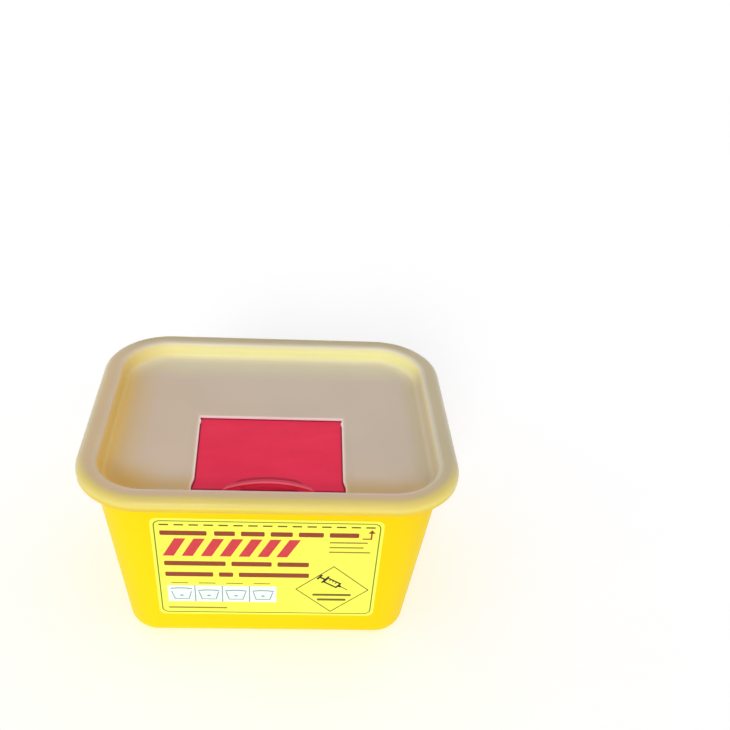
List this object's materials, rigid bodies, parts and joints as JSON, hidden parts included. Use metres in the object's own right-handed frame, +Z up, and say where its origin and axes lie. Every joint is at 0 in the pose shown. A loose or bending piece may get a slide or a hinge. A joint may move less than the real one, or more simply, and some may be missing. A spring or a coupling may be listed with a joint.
{
  "type": "sharps container",
  "caption": "Tapered rectangular waste tub with a push-fit recessed lid, a window in the lid and a slide under the floor that closes it.",
  "frame": {"origin": "centre of the rectangle that the tub's base and the lid's outline share, on the surface that the container stands on", "axes": "+Z up out of the lid, front wall with the sticker facing -Y, +X to the right as seen from the front"},
  "size_m": [0.26, 0.208, 0.155],
  "materials": {
    "tub_plastic": "satin, moulded polypropylene",
    "lid_plastic": "milky natural polypropylene",
    "slide_plastic": "satin, moulded polypropylene",
    "sticker_film": "smooth printed film",
    "print_red": "printed ink",
    "print_dark": "printed ink",
    "print_white": "printed ink"
  },
  "bodies": {
    "tub": {"tub": "tub_plastic", "front_label": "sticker_film"},
    "lid": {"lid": "lid_plastic"},
    "slide": {"slide_cover": "slide_plastic"}
  },
  "joints": [
    {"name": "lid_lift", "type": "slide", "parent": "tub", "child": "lid", "axis": [0, 0, 1], "range_m": [0, 0.08]},
    {"name": "slide_open", "type": "slide", "parent": "lid", "child": "slide", "axis": [0, 1, 0], "range_m": [0, 0.0685]}
  ]
}
